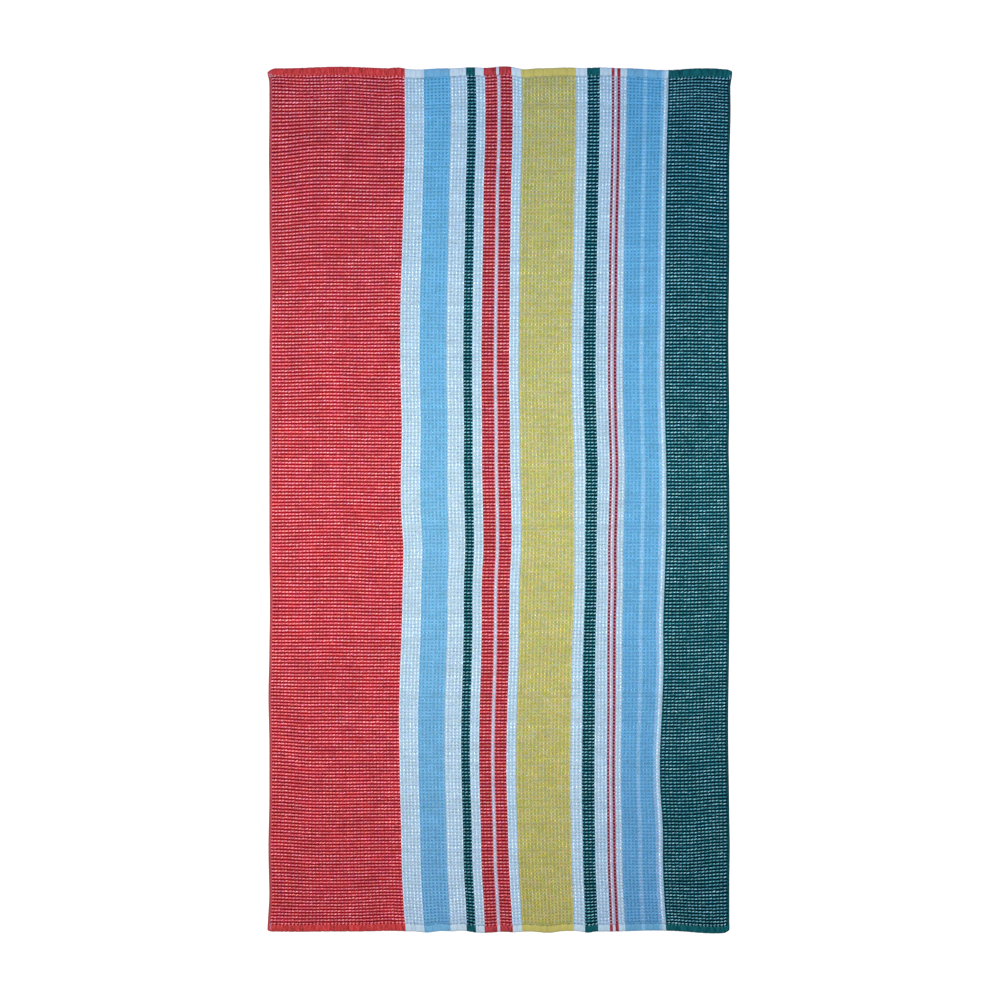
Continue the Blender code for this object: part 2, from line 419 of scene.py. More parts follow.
# Soft patches, how many to a metre and how much they vary. Spots of uneven dye, how many
# to a metre across, along and up.
PATCHES_PER_METRE = 26.0
DARK_PATCHES = 0.55
PALE_PATCHES = 0.25
HEM_PATCHES = 0.4
DYE_SPOTS_PER_METRE = (110.0, 170.0, 110.0)

# The ground: how sharp, strong and uneven the painted shade in its holes is, and how fine and
# strong its fibres.
HOLE_SHARPNESS = 1.8
HOLE_STRENGTH = 2.2
HOLE_NOISE_SCALE = 1.3
FIBRE_SCALE = 6.0
FIBRE_SHADE = 0.48
FIBRE_HEIGHT = 0.3

# A float's twist: how fine it is, how far it wanders and how finely, and how much it shows.
TWIST_SCALE = 260.0
TWIST_WANDER = 1.5
TWIST_WANDER_SCALE = 2.0
TWIST_SHADE = 0.28

# A hem: streaks, ribs and fibres to each column of the weave, and streaks and picks to each
# row; how much of its close weave is ribs, and how much that shows.
STREAKS = (2.6, 0.5)
HEM_RIBS = 4.0
HEM_PICKS = 8.0
HEM_FIBRE_SCALE = 4.0
HEM_RIB_SHARE = 0.6
HEM_WEAVE_SHADE = 0.12

# How much the streaks and the fibres of a hem or selvedge show.
Grain = namedtuple("Grain", "streaks flecks")
DARK_GRAIN = Grain(2.0, 1.3)
PALE_GRAIN = Grain(0.25, 0.28)
SELVEDGE_GRAIN = Grain(0.2, 0.28)

THREAD_FIBRE_SCALE = 900.0
THREAD_SHADE = 0.4

# A finish's relief: how strongly it shows, and its depth in metres.
Relief = namedtuple("Relief", "strength depth")
GROUND_RELIEF = Relief(0.6, 0.0006)
FLOAT_RELIEF = Relief(0.5, 0.0002)
HEM_RELIEF = Relief(0.5, 0.0003)
THREAD_RELIEF = Relief(0.4, 0.0002)


class Wire:
    """An output socket of a finish, so that a sum on wires adds its Math nodes."""

    def __init__(self, finish, socket):
        self.finish = finish
        self.socket = socket

    def math(self, operation, first, second):
        return self.finish.node("ShaderNodeMath", {"operation": operation}, {0: first, 1: second})

    def output(self, name):
        return Wire(self.finish, self.socket.node.outputs[name])

    def __add__(self, other):
        return self.math("ADD", self, other)

    def __radd__(self, other):
        return self.math("ADD", other, self)

    def __sub__(self, other):
        return self.math("SUBTRACT", self, other)

    def __rsub__(self, other):
        return self.math("SUBTRACT", other, self)

    def __mul__(self, other):
        return self.math("MULTIPLY", self, other)

    def __rmul__(self, other):
        return self.math("MULTIPLY", other, self)

    def __pow__(self, other):
        return self.math("POWER", self, other)


def cloth_colour(seen):
    """The linear colour of a cloth that looks this way, 0 to 255, under the studio's light."""
    share = np.array(seen) / 255
    linear = np.where(share <= 0.04045, share / 12.92, ((share + 0.055) / 1.055) ** 2.4)
    return (*np.minimum(linear / LIGHT_LEVEL, LIGHTEST).tolist(), 1.0)


class Finish:
    """A material, with its nodes added from Python."""

    def __init__(self, name, roughness=CLOTH_ROUGHNESS):
        self.material = bpy.data.materials.new(name)
        self.material.use_nodes = True
        self.tree = self.material.node_tree
        self.shader = self.tree.nodes["Principled BSDF"]
        self.shader.inputs["Roughness"].default_value = roughness
        self.shader.inputs["Specular IOR Level"].default_value = SHINE

    def node(self, kind, settings=None, values=None):
        """Adds a node, sets it, feeds its sockets values or wires, and gives its first output."""
        made = self.tree.nodes.new(kind)
        for name, value in (settings or {}).items():
            setattr(made, name, value)
        for place, value in (values or {}).items():
            if isinstance(value, Wire):
                self.tree.links.new(value.socket, made.inputs[place])
            else:
                made.inputs[place].default_value = value
        return Wire(self, made.outputs[0])

    def wave(self, place):
        """1 where place is a whole number, and 0 halfway between."""
        return 0.5 + 0.5 * self.node("ShaderNodeMath", {"operation": "COSINE"}, {0: place * TURN})

    def mix(self, share, first, second):
        """From the first colour to the second."""
        blend = self.node("ShaderNodeMix", {"data_type": "RGBA"}, {0: share, 6: first, 7: second})
        return blend.output(2)

    def shade(self, colour, amount):
        """A colour made lighter or darker by an amount that varies."""
        values = {0: colour if isinstance(colour, Wire) else colour[:3], "Scale": amount}
        return self.node("ShaderNodeVectorMath", {"operation": "SCALE"}, values)

    def noise(self, place, scale, detail=2.0):
        """Noise round 0.5 at a place."""
        values = {"Vector": place, "Scale": scale, "Detail": detail}
        return self.node("ShaderNodeTexNoise", None, values)

    def value(self, name):
        """A value that the mesh carries at each point."""
        return self.node("ShaderNodeAttribute", {"attribute_name": name}).output(2)

    def place(self):
        """Where a point lies on the towel, in metres from its middle."""
        return self.node("ShaderNodeTexCoord").output("Object")

    def parts(self, place):
        """The first two parts of a place: across and along."""
        split = self.node("ShaderNodeSeparateXYZ", None, {0: place})
        return split, split.output(1)

    def round_one(self, amount, share):
        """A share from 0 to 1 as a shade that varies round 1 by this amount."""
        return 1 - 0.5 * amount + amount * share

    def patches(self, amount):
        """Soft lighter and darker patches of the cloth, some centimetres wide."""
        return self.round_one(amount, self.noise(self.place(), PATCHES_PER_METRE, 4.0))

    def vector(self, operation, *values):
        """A sum on colours or vectors."""
        return self.node("ShaderNodeVectorMath", {"operation": operation}, dict(enumerate(values)))

    def towards_far_end(self):
        """The place along the towel: 0 at its middle, 1 at the far end and -1 at the near end."""
        return self.parts(self.place())[1] * (2 / TOWEL_LENGTH)

    def dyed(self, colour, dye):
        """A colour whose red, green and blue vary from place to place by uneven dye, and towards
        the two ends by painted light and shade.
        """
        place = self.vector("MULTIPLY", self.place(), DYE_SPOTS_PER_METRE)
        spots = self.noise(place, 1.0, 1.0).output(1)
        least = tuple(1 - 0.5 * share for share in dye.unevenness)
        uneven = self.vector("MULTIPLY_ADD", spots, dye.unevenness, least)
        along = self.towards_far_end()
        for side, shares in ((along, dye.far), (-1.0 * along, dye.near)):
            towards = side.math("MAXIMUM", side, 0.0)
            change = tuple(share / 100 - 1 for share in shares)
            kept = self.vector("ADD", self.shade(change, towards), (1.0, 1.0, 1.0))
            uneven = self.vector("MULTIPLY", uneven, kept)
        return self.vector("MULTIPLY", colour, uneven)

    def end(self, colour, height, relief):
        """Feeds the shader its colour and its relief, and gives the finished material."""
        self.tree.links.new(colour.socket, self.shader.inputs["Base Color"])
        values = {"Strength": relief.strength, "Distance": relief.depth, "Height": height}
        bump = self.node("ShaderNodeBump", None, values)
        self.tree.links.new(bump.socket, self.shader.inputs["Normal"])
        return self.material


def patchiness(yarn):
    """How much a yarn's stripes vary in soft patches."""
    return DARK_PATCHES if yarn.name in DARK_YARNS else PALE_PATCHES


def woven_ground(yarn):
    """The ground of the waffle weave: row bands, pits between them, and holes in the pits, with
    painted shade in the pits and holes, and painted light and shade towards the ends.
    """
    finish = Finish("ground_" + yarn.name)
    place = finish.node("ShaderNodeUVMap", {"uv_map": WEAVE_MAP})
    column, row = [finish.wave(part) for part in finish.parts(place)]
    hole = ((1 - row) * (1 - column)) ** HOLE_SHARPNESS
    depth = finish.noise(place, HOLE_NOISE_SCALE, 1.0)
    # Painted shade: the pits darker than the row bands in most yarns, and the holes darker still.
    colour = finish.mix(row, cloth_colour(yarn.pit), cloth_colour(yarn.band))
    colour = finish.mix(hole * (HOLE_STRENGTH * depth), colour, cloth_colour(yarn.hole))
    # Painted light and shade towards the ends, which widens the gap between row bands and pits in
    # most yarns.
    square = finish.towards_far_end() ** 2.0
    colour = finish.shade(colour, 1 + yarn.dye.ribs * square * square * (row - 0.5))
    fibres = finish.noise(place, FIBRE_SCALE)
    shade = finish.round_one(FIBRE_SHADE, fibres) * finish.patches(patchiness(yarn))
    # Uneven dye, and painted light and shade towards the two ends.
    colour = finish.dyed(finish.shade(colour, shade), yarn.dye)
    height = row * (1 - column) + (1 - row) * column + FIBRE_HEIGHT * fibres
    return finish.end(colour, height, GROUND_RELIEF)


def float_yarn(name, seen, leaning, yarn):
    """One float's yarn: its own tone and colour, and the turns of its twist."""
    finish = Finish(name)
    wander = {"Distortion": TWIST_WANDER, "Detail": 1.0, "Detail Scale": TWIST_WANDER_SCALE}
    twist = finish.node(
        "ShaderNodeTexWave",
        {"bands_direction": "DIAGONAL"},
        {"Vector": finish.place(), "Scale": TWIST_SCALE, **wander},
    ).output(1)
    colour = finish.mix(finish.value(LEAN), cloth_colour(seen), cloth_colour(leaning))
    shade = finish.round_one(TWIST_SHADE, twist) * finish.patches(patchiness(yarn))
    # Uneven dye, and painted light and shade towards the two ends.
    colour = finish.dyed(finish.shade(colour, finish.value(TONE_AND_SHADE) * shade), yarn.dye)
    return finish.end(colour, twist, FLOAT_RELIEF)


def hem_cloth(name, seen, grain):
    """Plain close weave: streaked lengthwise, and darker with painted shade where it puckers and at
    its fold.
    """
    finish = Finish(name)
    place = finish.node("ShaderNodeUVMap", {"uv_map": WEAVE_MAP})
    across, along = finish.parts(place)
    drawn_out = {0: across * STREAKS[0], 1: along * STREAKS[1]}
    streaks = finish.noise(finish.node("ShaderNodeCombineXYZ", None, drawn_out), 1.0, 1.0)
    ribs = finish.wave(across * HEM_RIBS)
    picks = finish.wave(along * HEM_PICKS)
    fibres = finish.noise(place, HEM_FIBRE_SCALE)
    weave = ribs * HEM_RIB_SHARE + picks * (1 - HEM_RIB_SHARE)
    least = 1 - 0.5 * (grain.streaks + grain.flecks + HEM_WEAVE_SHADE)
    shade = least + grain.streaks * streaks + grain.flecks * fibres + HEM_WEAVE_SHADE * weave
    # The mesh's tone brings painted shade in the puckers and at the fold.
    shade = finish.value(TONE_AND_SHADE) * shade * finish.patches(HEM_PATCHES)
    height = weave + fibres + 2.0 * grain.streaks * streaks
    return finish.end(finish.shade(cloth_colour(seen), shade), height, HEM_RELIEF)


def sewing_thread():
    """The pale thread at the hems' side ends."""
    finish = Finish("sewing_thread", THREAD_ROUGHNESS)
    fibres = finish.noise(finish.place(), THREAD_FIBRE_SCALE)
    colour = finish.shade(cloth_colour(THREAD_COLOUR), finish.round_one(THREAD_SHADE, fibres))
    return finish.end(colour, fibres, THREAD_RELIEF)


# ---------------- meshes


def add_map(mesh, name, places):
    """A UV map from one pair of places for each corner of the mesh."""
    layer = mesh.uv_layers.new(name=name)
    layer.data.foreach_set("uv", np.asarray(places, np.float32).ravel())


def add_values(mesh, name, values):
    """One value for each point of the mesh."""
    layer = mesh.attributes.new(name, "FLOAT", "POINT")
    layer.data.foreach_set("value", np.asarray(values, np.float32).ravel())


def new_piece(name, points, faces, materials, indices=None):
    """A smooth mesh piece in the scene, riding with the towel."""
    mesh = bpy.data.meshes.new(name)
    mesh.from_pydata(points.reshape(-1, 3).tolist(), [], faces)
    for material in materials:
        mesh.materials.append(material)
    if indices is not None:
        mesh.polygons.foreach_set("material_index", np.asarray(indices, np.int32))
    mesh.shade_smooth()
    piece = bpy.data.objects.new(name, mesh)
    bpy.context.scene.collection.objects.link(piece)
    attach(piece, BODY)
    return piece


def stripe_starts():
    """Where each stripe starts, in metres from the left edge, and where the last one ends."""
    return np.concatenate([[0.0], np.cumsum([stripe.width_mm for stripe in STRIPES])]) * MM


def warp_places():
    """Where each column of warp floats lies, in metres from the left edge."""
    return np.concatenate(
        [
            start + MM * (stripe.first_mm + stripe.gap_mm * np.arange(stripe.floats))
            for start, stripe in zip(stripe_starts(), STRIPES)
        ]
    )


def weft_places():
    """Where each column of weft floats lies: beside the first warp column, and between each two."""
    warps = warp_places()
    return np.concatenate([[FIRST_WEFT_COLUMN], (warps[:-1] + warps[1:]) / 2])


def column_of(from_left):
    """The weave column at places across the towel: whole numbers lie on the warp floats."""
    warps = warp_places()
    inside = np.interp(from_left, warps, np.arange(len(warps)))
    before = np.minimum(from_left - warps[0], 0.0) / (warps[1] - warps[0])
    after = np.maximum(from_left - warps[-1], 0.0) / (warps[-1] - warps[-2])
    return inside + before + after


Cell = namedtuple("Cell", "left right stripe")


def strips(left, right, count, stripe):
    """Equal strips of one stripe between two places across the towel."""
    sides = np.linspace(left, right, count + 1)
    return [Cell(*pair, stripe) for pair in zip(sides[:-1], sides[1:])]


def cells_across(step_mm, starts):
    """The strips that the cloth is divided into across its width: their sides and stripe."""
    cells = []
    for number, (left, right) in enumerate(zip(starts[:-1], starts[1:])):
        cells += strips(left, right, math.ceil((right - left) / (step_mm * MM)), number)
    return cells


def sides_of(cells):
    """The sides of strips that lie side by side, from left to right."""
    return np.array([cells[0].left] + [cell.right for cell in cells])


def from_nearer_side(from_left):
    """How far places across the towel are from the nearer of its two sides."""
    return np.minimum(from_left, TOWEL_WIDTH - from_left)


def row_places():
    """Where each row of weft floats lies, in metres from the near end."""
    shares = np.arange(ROWS - 1) / (ROWS - 2)
    gaps = np.interp(shares, [row.share for row in ROW_GAPS], [row.gap_mm for row in ROW_GAPS])
    steps = np.concatenate([[0.0], np.cumsum(gaps)])
    return FIRST_ROW + (LAST_ROW - FIRST_ROW) * steps / steps[-1]


def row_of(along):
    """The weave row at places along the towel: whole numbers lie on the weft floats."""
    return np.interp(along * TOWEL_LENGTH, row_places(), np.arange(ROWS))


# ---------------- the woven ground

GROUND_STEPS_ALONG = 125
GROUND_STEP_MM = 7.4
GROUND_INSET = 0.004

# A selvedge's tone and height at distances in millimetres from the towel's side.
SELVEDGE_STRIPS = 5
SELVEDGE_TONES = ((0.0, 1.0), (1.5, 0.96), (3.2, 0.86), (4.6, 1.12), (5.6, 1.18))
SELVEDGE_HEIGHTS_MM = (
    (0.0, 0.6), (0.9, 1.7), (1.9, 1.9), (2.9, 1.5), (3.8, 1.2), (4.8, 1.65), (6.0, 1.75),
)


def ground_cells():
    """The ground's strips, with narrow ones where a selvedge rolls."""
    middle = cells_across(GROUND_STEP_MM, stripe_starts())[1:-1]
    left = strips(0.0, middle[0].left, SELVEDGE_STRIPS, 0)
    right = strips(middle[-1].right, TOWEL_WIDTH, SELVEDGE_STRIPS, len(STRIPES) - 1)
    return left + middle + right


def make_ground(grounds, selvedges):
    """The sheet that all floats rise from, with both its faces and its rim."""
    cells = ground_cells()
    sides = sides_of(cells)
    across = sides / TOWEL_WIDTH
    columns_at = column_of(sides)
    inset = GROUND_INSET / TOWEL_LENGTH
    along = np.linspace(inset, 1 - inset, GROUND_STEPS_ALONG + 1)
    places, heights = np.array(SELVEDGE_HEIGHTS_MM).T * MM
    heights = np.interp(from_nearer_side(sides), places, heights)
    grid_across, grid_along = np.meshgrid(across, along)
    top = lay(grid_across, grid_along, heights[None, :] + 0 * grid_across)
    under = lay(grid_across, grid_along, 0 * grid_across)
    points = np.concatenate([top.reshape(-1, 3), under.reshape(-1, 3)])

    columns, rows = len(cells), GROUND_STEPS_ALONG
    wide = columns + 1
    floor = wide * (rows + 1)
    last = columns
    faces, indices, weave, bake = [], [], [], []

    def add_face(corners, column):
        """A face by its corners: line across, line along, and layer, 0 on top and 1 below."""
        faces.append([layer * floor + j * wide + i for i, j, layer in corners])
        indices.append(cells[column].stripe)
        for i, j, layer in corners:
            weave.append((columns_at[i], row_of(along[j])))
            bake.append((0.5 * across[i] + 0.5 * layer, along[j]))

    for j in range(rows):
        for i in range(columns):
            add_face([(i, j, 0), (i + 1, j, 0), (i + 1, j + 1, 0), (i, j + 1, 0)], i)
            add_face([(i, j + 1, 1), (i + 1, j + 1, 1), (i + 1, j, 1), (i, j, 1)], i)
        add_face([(0, j, 1), (0, j, 0), (0, j + 1, 0), (0, j + 1, 1)], 0)
        add_face([(last, j + 1, 1), (last, j + 1, 0), (last, j, 0), (last, j, 1)], last - 1)
    for i in range(columns):
        add_face([(i, 0, 1), (i + 1, 0, 1), (i + 1, 0, 0), (i, 0, 0)], i)
        add_face([(i, rows, 0), (i + 1, rows, 0), (i + 1, rows, 1), (i, rows, 1)], i)

    materials = [grounds[stripe.yarn] for stripe in STRIPES]
    materials[0] = selvedges[STRIPES[0].yarn]
    materials[-1] = selvedges[STRIPES[-1].yarn]
    piece = new_piece("woven_ground", points, faces, materials, indices)
    add_map(piece.data, WEAVE_MAP, weave)
    add_map(piece.data, BAKE_MAP, bake)
    places, tones = np.array(SELVEDGE_TONES).T
    tones = np.interp(from_nearer_side(sides), places * MM, tones)
    add_values(piece.data, TONE_AND_SHADE, np.tile(tones, 2 * (rows + 1)))
    return piece


# ---------------- the floats

# A spindle's points: how far along its length (-1 to 1), how far to its side (-1 to 1),
# and its height from root (0) to crest (1).
SPINDLE_POINTS = np.array(
    [
        (-1.0, 0.0, 0.0),
        (-0.5, 1.0, 0.1),
        (-0.5, -1.0, 0.1),
        (-0.45, 0.0, 1.0),
        (0.5, 1.0, 0.1),
        (0.5, -1.0, 0.1),
        (0.45, 0.0, 1.0),
        (1.0, 0.0, 0.0),
    ]
)
SPINDLE_FACES = (
    (0, 2, 3), (0, 3, 1), (0, 1, 2),
    (2, 5, 6, 3), (3, 6, 4, 1), (1, 4, 5, 2),
    (7, 6, 5), (7, 4, 6), (7, 5, 4),
)


Floats = namedtuple("Floats", "centres lengths widths slants tones leans")


def spindles(name, floats, heights, lengthwise, material):
    """Many floats as one mesh. Their centres are metres across and along on the flat cut."""
    centres, lengths, widths, slants, tones, leans = floats
    run = SPINDLE_POINTS[None, :, 0] * lengths[:, None] / 2
    side = SPINDLE_POINTS[None, :, 1] * widths[:, None] / 2 + run * slants[:, None]
    if lengthwise:
        step_across, step_along = -side, run
    else:
        step_across, step_along = run, side
    across = (centres[:, 0, None] + step_across) / TOWEL_WIDTH
    along = (centres[:, 1, None] + step_along) / TOWEL_LENGTH
    root, crest = heights
    points = lay(across, along, root + (crest - root) * SPINDLE_POINTS[None, :, 2] + 0 * across)

    first = np.arange(len(centres)) * len(SPINDLE_POINTS)
    faces = []
    for face in SPINDLE_FACES:
        faces += (first[:, None] + np.array(face)).tolist()
    piece = new_piece(name, points, faces, [material])
    corners = np.concatenate([np.array(face) for face in faces])
    add_map(piece.data, BAKE_MAP, np.stack([across.ravel()[corners], along.ravel()[corners]], -1))
    add_values(piece.data, TONE_AND_SHADE, np.repeat(tones, len(SPINDLE_POINTS)))
    add_values(piece.data, LEAN, np.repeat(leans, len(SPINDLE_POINTS)))
    return piece


# Weft floats: their length in shares of the gap between warp columns, and their width. Warp
# floats: their length, and their width in shares of that gap. How much each kind slants.
WEFT_LENGTH = 0.87
WEFT_WIDTH = 0.0029
WEFT_SLANT = 0.26
WEFT_SLANT_SPREAD = 0.16
WARP_LENGTH = 0.0053
WARP_WIDTH = 0.42
WARP_SLANT_SPREAD = 0.08
WIDEST_GAP = 0.0071

# How uneven the weaving is: the spread of the floats' places, sizes, tones and leans, and
# how much tones and leans change in slow runs of a few columns along each row.
PLACE_SPREAD = 0.00032
SIZE_SPREAD = 0.08
WEFT_ROW_SPREAD = 0.04
WARP_ROW_SPREAD = 0.10
COLUMN_SPREAD = 0.04
TONE_SPREAD = 0.075
TONE_RUN = 0.07
LEAN_MIDDLE = 0.45
LEAN_SPREAD = 0.18
LEAN_RUN = 0.35
RUN_COLUMNS = 4
ROW_SEED = 5


def columns_of_yarn(yarn_name, weft):
    """Where the columns of floats on one yarn's stripes lie, and the width that each has."""
    places = weft_places() if weft else warp_places()
    gaps = np.minimum(np.gradient(places), WIDEST_GAP)
    stripes = np.searchsorted(stripe_starts(), places) - 1
    on_it = np.array([STRIPES[stripe].yarn == yarn_name for stripe in stripes])
    return places[on_it], gaps[on_it]


def runs(row, column, chance):
    """Uneven values round 0 that change slowly along each row."""
    knots = chance.normal(0.0, 1.0, (row.max() + 1, column.max() // RUN_COLUMNS + 3))
    place = column / RUN_COLUMNS + 0.5 * (row % 2)
    before = place.astype(int)
    share = place - before
    return (1 - share) * knots[row, before] + share * knots[row, before + 1]


def make_floats(yarn, weft, row_tones):
    """All of one yarn's floats of one kind, with the small unevenness of real weaving."""
    places, gaps = columns_of_yarn(yarn.name, weft)
    rows = np.arange(ROWS) if weft else np.arange(ROWS - 1) + 0.5
    chance = np.random.default_rng([len(yarn.name), ord(yarn.name[0]), int(weft)])
    column, row = [grid.ravel() for grid in np.meshgrid(range(len(places)), range(len(rows)))]
    count = len(column)
    centres = np.stack([places[column], np.interp(rows[row], np.arange(ROWS), row_places())], -1)
    centres += chance.normal(0.0, PLACE_SPREAD, (count, 2))
    tones = chance.normal(1.0, COLUMN_SPREAD, len(places))[column] * row_tones[row]
    tones *= chance.normal(1.0, TONE_SPREAD, count)
    tones *= 1 + TONE_RUN * runs(row, column, chance)
    size = chance.normal(1.0, SIZE_SPREAD, count)
    leans = LEAN_MIDDLE + LEAN_RUN * runs(row, column, chance)
    leans = np.clip(leans + chance.normal(0.0, LEAN_SPREAD, count), 0.0, 1.0)
    if weft:
        name, colours, crest = "weft_on_" + yarn.name, (yarn.weft, yarn.weft_lean), WEFT_CREST
        lengths, widths = WEFT_LENGTH * gaps[column] * size, WEFT_WIDTH * size
        slants = chance.normal(WEFT_SLANT, WEFT_SLANT_SPREAD, count)
    else:
        name, colours, crest = "warp_" + yarn.name, (yarn.warp, yarn.warp_lean), WARP_CREST
        lengths, widths = WARP_LENGTH * size, WARP_WIDTH * gaps[column] * size
        slants = chance.normal(0.0, WARP_SLANT_SPREAD, count)
    floats = Floats(centres, lengths, widths, slants, tones, leans)
    return spindles(name, floats, (FLOAT_ROOT, crest), not weft, float_yarn(name, *colours, yarn))


# ---------------- hems and threads

# The towel's two ends: how deep the hem is, how far its stripes have slipped sideways near
# the middle, and the seed of its puckers.
End = namedtuple("End", "name far hem_depth hem_slip seed")
NEAR = End("near_", False, NEAR_HEM_DEPTH, 0.0, 47)
FAR = End("far_", True, FAR_HEM_DEPTH, -0.0022, 31)

# A hem's section, going round it: how far in from its folded end, in shares of its
# depth, and its height in shares of its thickness.
HEM_SECTION = (
    (0.000, 0.30), (0.012, 0.52), (0.060, 0.76), (0.150, 0.92), (0.350, 1.00),
    (0.650, 1.00), (0.880, 0.95), (0.970, 0.84), (1.000, 0.66), (1.000, 0.05),
    (0.600, 0.00), (0.080, 0.00), (0.012, 0.10),
)
HEM_STEP_MM = 1.8

# Puckers: how deep they dip the top, how far they pull the fold in, how dark their painted shade is
# and how uneven they are, and how far apart and wide.
PUCKER_DEPTH = 0.0004
PUCKER_PULL = 0.0009
PUCKER_SHADE = 0.22
PUCKER_STRENGTH = (0.25, 1.0)
PUCKER_GAP_MM = (5.0, 20.0)
PUCKER_WIDTH_MM = (1.2, 2.6)

# Puckers pull in what lies before this share of the depth, and dip what lies above this
# share of the thickness. The inner edge, from this share of the depth on, wavers.
PULLED_BEFORE = 0.5
DIPPED_ABOVE = 0.6
WAVERS_FROM = 0.8
WAVER = 0.0004

# A hem is flatter by its side ends, and darker at its fold with painted shade. Where across it its
# stripes slip most, and how far round that. How far its dark stripes spread.
SIDE_REACH = 0.004
SIDE_DROP = 0.3
FOLD_SHADE = 0.25
FOLD_REACH = 0.1
SLIP_MIDDLE = 0.52
SLIP_REACH = 0.2
DARK_SPREAD = 0.0005


def pucker_at(places, chance):
    """How puckered a hem is at places across it: narrow dips at uneven distances."""
    pucker = np.zeros_like(places)
    at = 0.0
    while at < TOWEL_WIDTH:
        at += chance.uniform(*PUCKER_GAP_MM) * MM
        strength = chance.uniform(*PUCKER_STRENGTH)
        pucker += strength * hump(places - at, chance.uniform(*PUCKER_WIDTH_MM) * MM)
    return np.minimum(pucker, 1.0)


def hem_starts():
    """Where the stripes start in a hem: its close weave spreads the dark ones a little."""
    starts = stripe_starts()
    dark = np.array([stripe.yarn in DARK_YARNS for stripe in STRIPES], float)
    starts[1:-1] += DARK_SPREAD * (dark[:-1] - dark[1:])
    return starts


def make_hem(end, hems):
    """The folded end of the cloth, puckered by its sewing."""
    cells = cells_across(HEM_STEP_MM, hem_starts())
    sides = sides_of(cells)
    columns_at = column_of(sides)
    inward, upward = np.array(HEM_SECTION).T[:, None, :]
    turns = len(HEM_SECTION)
    chance = np.random.default_rng(end.seed)
    pucker = pucker_at(sides, chance)[:, None]
    waver = WAVER * chance.normal(0.0, 1.0, len(sides))[:, None] * (inward > WAVERS_FROM)
    pulled = PUCKER_PULL * pucker * (inward < PULLED_BEFORE)
    from_end = inward * end.hem_depth + pulled + waver
    height = upward * HEM_THICKNESS - PUCKER_DEPTH * pucker * (upward > DIPPED_ABOVE)
    at_side = hump(from_nearer_side(sides), SIDE_REACH)[:, None]
    height = height * (1 - SIDE_DROP * at_side)
    across = sides / TOWEL_WIDTH
    slip = end.hem_slip * hump(across - SLIP_MIDDLE, SLIP_REACH)
    along = from_end / TOWEL_LENGTH
    if end.far:
        along = 1 - along
    points = lay((across + slip / TOWEL_WIDTH)[:, None] + 0 * along, along, height)

    faces, indices, weave, bake = [], [], [], []
    for i, cell in enumerate(cells):
        for k in range(turns):
            following = (k + 1) % turns
            corners = [(i, k), (i, following), (i + 1, following), (i + 1, k)]
            if end.far:
                corners.reverse()
            faces.append([line * turns + point for line, point in corners])
            indices.append(cell.stripe)
            for line, point in corners:
                round_hem = point + turns * (point == 0 and k == turns - 1)
                weave.append((columns_at[line], from_end[line, point] / ROW_PITCH))
                bake.append((across[line], round_hem / turns))
    for line in (0, len(cells)):
        corners = [line * turns + k for k in range(turns)]
        if (line == 0) != end.far:
            corners.reverse()
        faces.append(corners)
        indices.append(cells[min(line, len(cells) - 1)].stripe)
        weave += [(0.0, 0.0)] * turns
        bake += [(0.0, 0.0)] * turns
    materials = [hems[stripe.yarn] for stripe in STRIPES]
    piece = new_piece(end.name + "hem", points, faces, materials, indices)
    add_map(piece.data, WEAVE_MAP, weave)
    add_map(piece.data, BAKE_MAP, bake)
    # Painted shade: darker in the puckers and towards the folded end.
    fold = 1 - FOLD_SHADE + FOLD_SHADE * np.clip(inward / FOLD_REACH, 0.0, 1.0)
    add_values(piece.data, TONE_AND_SHADE, (1 - PUCKER_SHADE * pucker) * fold)
    return piece


# The seam where a hem meets the weave: short pale stitches in the weft columns, and the
# ends of the warp floats between them. How far each lies from the towel's end, in shares
# of the hem's depth, how wide it is, and how uneven both kinds are.
SeamKind = namedtuple("SeamKind", "name place width")
STITCHES = SeamKind("stitches_", 0.93, 0.0020)
FLOAT_ENDS = SeamKind("float_ends_", 0.97, 0.0030)
SEAM_LENGTH = 0.0036
SEAM_HEIGHTS = (0.0022, 0.0034)
SEAM_PLACE_SPREAD = 0.0003
SEAM_SIZE_SPREAD = 0.12
SEAM_TONE_SPREAD = 0.14
SEAM_SLANT_SPREAD = 0.25


def make_seam(end, yarn, pale):
    """One yarn's pale stitches, or its warp floats' ends, along one hem."""
    kind, seen = (STITCHES, yarn.weft_lean) if pale else (FLOAT_ENDS, yarn.pit)
    name = end.name + kind.name + yarn.name
    places = columns_of_yarn(yarn.name, pale)[0]
    count = len(places)
    chance = np.random.default_rng([len(yarn.name), ord(yarn.name[0]), int(pale), int(end.far)])
    from_end = end.hem_depth * kind.place + chance.normal(0.0, SEAM_PLACE_SPREAD, count)
    centres = np.stack([places, TOWEL_LENGTH - from_end if end.far else from_end], -1)
    size = chance.normal(1.0, SEAM_SIZE_SPREAD, count)
    tones = chance.normal(1.0, SEAM_TONE_SPREAD, count)
    slants = chance.normal(0.0, SEAM_SLANT_SPREAD, count)
    floats = Floats(centres, SEAM_LENGTH * size, kind.width * size, slants, tones, 0.0 * size)
    return spindles(name, floats, SEAM_HEIGHTS, True, float_yarn(name, seen, seen, yarn))


# Ends of sewing thread that show at the corners: their middle across and from the towel's
# end, and their length.
Thread = namedtuple("Thread", "across_mm from_end_mm length_mm far")
THREADS = (
    Thread(2.8, 10.6, 11.0, True),
    Thread(6.2, 12.0, 9.0, True),
    Thread(3.2, 17.2, 4.4, True),
    Thread(5.2, 17.6, 3.6, True),
    Thread(7.4, 17.4, 3.4, True),
    Thread(900.0, 12.6, 12.0, True),
    Thread(5.0, 9.4, 17.0, False),
)
THREAD_WIDTH = 0.0020
THREAD_SLANT = 0.06
THREAD_HEIGHTS = (0.0022, 0.0043)


